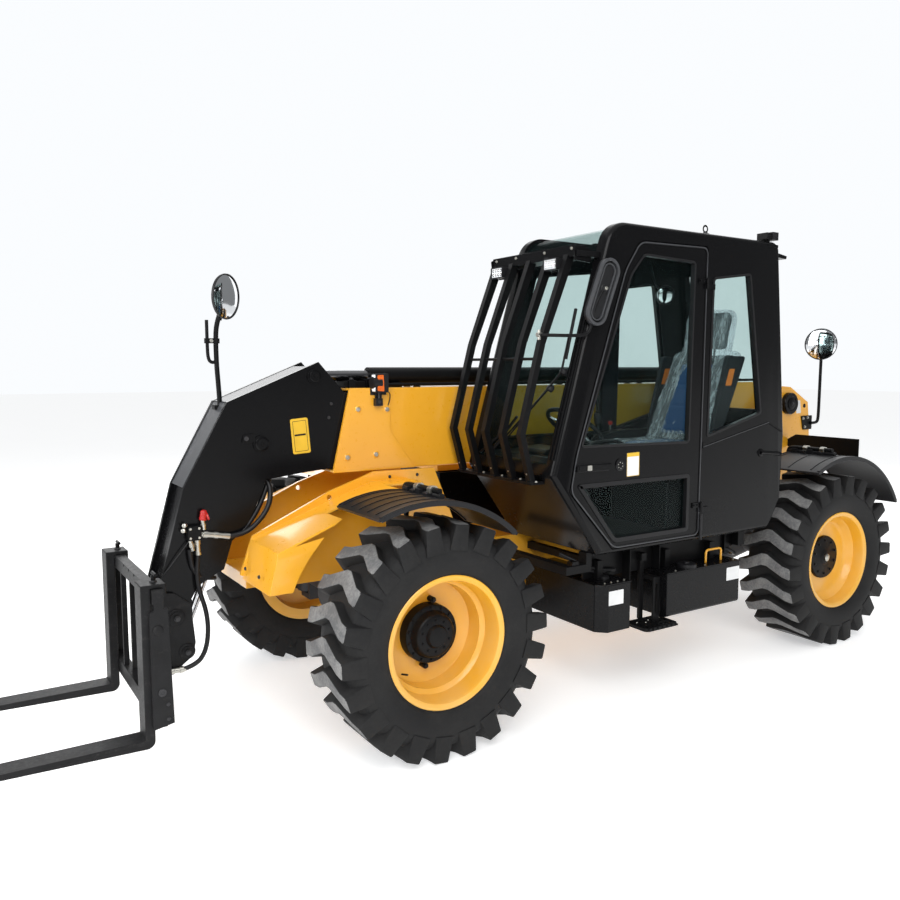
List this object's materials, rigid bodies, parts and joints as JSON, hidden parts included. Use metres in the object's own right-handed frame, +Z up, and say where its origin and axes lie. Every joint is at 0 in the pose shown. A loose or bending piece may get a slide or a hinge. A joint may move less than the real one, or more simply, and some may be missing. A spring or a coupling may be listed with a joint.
{
  "type": "telehandler",
  "caption": "Four-wheel telehandler with a side cab, a two-part centre boom that lifts and extends, a gooseneck head with tilting pallet forks, a hinged door and engine hood.",
  "frame": {"origin": "on the ground, at the middle of the machine's overall length and width", "axes": "+X forward towards the fork tips, +Y to the left (the cab's side), +Z up"},
  "size_m": [6.6389, 2.17, 2.752],
  "materials": {
    "yellow_paint": "satin",
    "black_paint": "satin",
    "grey_iron": "matt",
    "clear_glass": "clear",
    "seat_fabric": "woven",
    "black_plastic": "matt",
    "bright_rod": "polished",
    "tyre_rubber": "matt"
  },
  "bodies": {
    "chassis": {"frame_sides": "yellow_paint", "frame_crossmembers": "yellow_paint", "lamp_board": "yellow_paint", "tail_weight": "black_paint", "engine_block": "grey_iron", "engine_pod": "black_paint", "fuel_tank": "black_paint", "battery_box": "black_paint", "cab_step": "black_paint", "cab_mounts": "black_paint", "cab_shell": "black_paint", "cab_glazing": "clear_glass", "windscreen_guard": "black_paint", "seat_base": "black_paint", "seat_cushions": "seat_fabric", "dashboard": "black_plastic", "steering_wheel": "black_plastic", "work_lamps": "black_plastic", "rear_mirror": "black_paint", "front_axle": "grey_iron", "rear_axle": "grey_iron"},
    "door": {"door_frame": "black_paint", "door_glass": "clear_glass"},
    "hood": {"engine_hood": "yellow_paint"},
    "boom": {"outer_boom": "yellow_paint", "extension_barrel": "black_paint", "boom_lamp": "black_plastic"},
    "inner": {"inner_boom": "black_paint", "boom_head": "black_paint", "extension_rod": "bright_rod", "front_mirror": "black_paint"},
    "carriage": {"fork_carriage": "black_paint", "forks": "black_paint"},
    "lift_cylinder": {"lift_barrel": "black_paint"},
    "lift_piston": {"lift_rod": "bright_rod"},
    "tilt_cylinder": {"tilt_barrel": "black_paint"},
    "tilt_piston": {"tilt_rod": "bright_rod"},
    "knuckle_front_left": {"knuckle_front_left": "grey_iron", "mudguard_front_left": "black_plastic"},
    "wheel_front_left": {"tyre_front_left": "tyre_rubber", "rim_front_left": "yellow_paint"},
    "knuckle_front_right": {"knuckle_front_right": "grey_iron", "mudguard_front_right": "black_plastic"},
    "wheel_front_right": {"tyre_front_right": "tyre_rubber", "rim_front_right": "yellow_paint"},
    "knuckle_rear_left": {"knuckle_rear_left": "grey_iron", "mudguard_rear_left": "black_plastic"},
    "wheel_rear_left": {"tyre_rear_left": "tyre_rubber", "rim_rear_left": "yellow_paint"},
    "knuckle_rear_right": {"knuckle_rear_right": "grey_iron", "mudguard_rear_right": "black_plastic"},
    "wheel_rear_right": {"tyre_rear_right": "tyre_rubber", "rim_rear_right": "yellow_paint"}
  },
  "joints": [
    {"name": "boom_lift", "type": "hinge", "parent": "chassis", "child": "boom", "pos_m": [-2.903, 0, 1.628], "axis": [0, -1, 0], "range_deg": [-1, 65]},
    {"name": "boom_extend", "type": "slide", "parent": "boom", "child": "inner", "axis": [1, 0, 0], "range_m": [0, 2.6]},
    {"name": "fork_tilt", "type": "hinge", "parent": "inner", "child": "carriage", "pos_m": [1.882, 0, 0.66], "axis": [0, 1, 0], "range_deg": [-12, 110]},
    {"name": "lift_cylinder_swing", "type": "hinge", "parent": "chassis", "child": "lift_cylinder", "pos_m": [-2.335, 0, 0.93], "axis": [0, -1, 0], "range_deg": [-3, 70]},
    {"name": "lift_rod_slide", "type": "slide", "parent": "lift_cylinder", "child": "lift_piston", "axis": [0.991, 0, 0.1338], "range_m": [-0.03, 1.1]},
    {"name": "tilt_cylinder_swing", "type": "hinge", "parent": "inner", "child": "tilt_cylinder", "pos_m": [1.407, 0, 1.515], "axis": [0, 1, 0], "range_deg": [-5, 5]},
    {"name": "tilt_rod_slide", "type": "slide", "parent": "tilt_cylinder", "child": "tilt_piston", "axis": [0.3797, 0, -0.9251], "range_m": [-0.35, 0.06]},
    {"name": "door_swing", "type": "hinge", "parent": "chassis", "child": "door", "pos_m": [-0.997, 1.012, 1.5], "axis": [0, 0, 1], "range_deg": [0, 80]},
    {"name": "hood_swing", "type": "hinge", "parent": "chassis", "child": "hood", "pos_m": [-0.785, -0.241, 1.252], "axis": [-1, 0, 0], "range_deg": [0, 60]},
    {"name": "steer_front_left", "type": "hinge", "parent": "chassis", "child": "knuckle_front_left", "pos_m": [0.815, 0.65, 0.5875], "axis": [0, 0, 1], "range_deg": [-28, 28]},
    {"name": "roll_front_left", "type": "hinge", "parent": "knuckle_front_left", "child": "wheel_front_left", "pos_m": [0.815, 0.87, 0.5875], "axis": [0, 1, 0], "continuous": true},
    {"name": "steer_front_right", "type": "hinge", "parent": "chassis", "child": "knuckle_front_right", "pos_m": [0.815, -0.65, 0.5875], "axis": [0, 0, 1], "range_deg": [-28, 28]},
    {"name": "roll_front_right", "type": "hinge", "parent": "knuckle_front_right", "child": "wheel_front_right", "pos_m": [0.815, -0.87, 0.5875], "axis": [0, 1, 0], "continuous": true},
    {"name": "steer_rear_left", "type": "hinge", "parent": "chassis", "child": "knuckle_rear_left", "pos_m": [-2.385, 0.65, 0.5875], "axis": [0, 0, 1], "range_deg": [-28, 28]},
    {"name": "roll_rear_left", "type": "hinge", "parent": "knuckle_rear_left", "child": "wheel_rear_left", "pos_m": [-2.385, 0.87, 0.5875], "axis": [0, 1, 0], "continuous": true},
    {"name": "steer_rear_right", "type": "hinge", "parent": "chassis", "child": "knuckle_rear_right", "pos_m": [-2.385, -0.65, 0.5875], "axis": [0, 0, 1], "range_deg": [-28, 28]},
    {"name": "roll_rear_right", "type": "hinge", "parent": "knuckle_rear_right", "child": "wheel_rear_right", "pos_m": [-2.385, -0.87, 0.5875], "axis": [0, 1, 0], "continuous": true}
  ],
  "couplings": [
    {"joint": "lift_cylinder_swing", "follows": "boom_lift", "ratio": 0.99476},
    {"joint": "lift_rod_slide", "follows": "boom_lift", "m_per_rad": 0.85232},
    {"joint": "tilt_cylinder_swing", "follows": "fork_tilt", "ratio": 0.02},
    {"joint": "tilt_rod_slide", "follows": "fork_tilt", "m_per_rad": -0.16148},
    {"joint": "steer_front_right", "follows": "steer_front_left", "ratio": 1},
    {"joint": "steer_rear_right", "follows": "steer_rear_left", "ratio": 1}
  ]
}
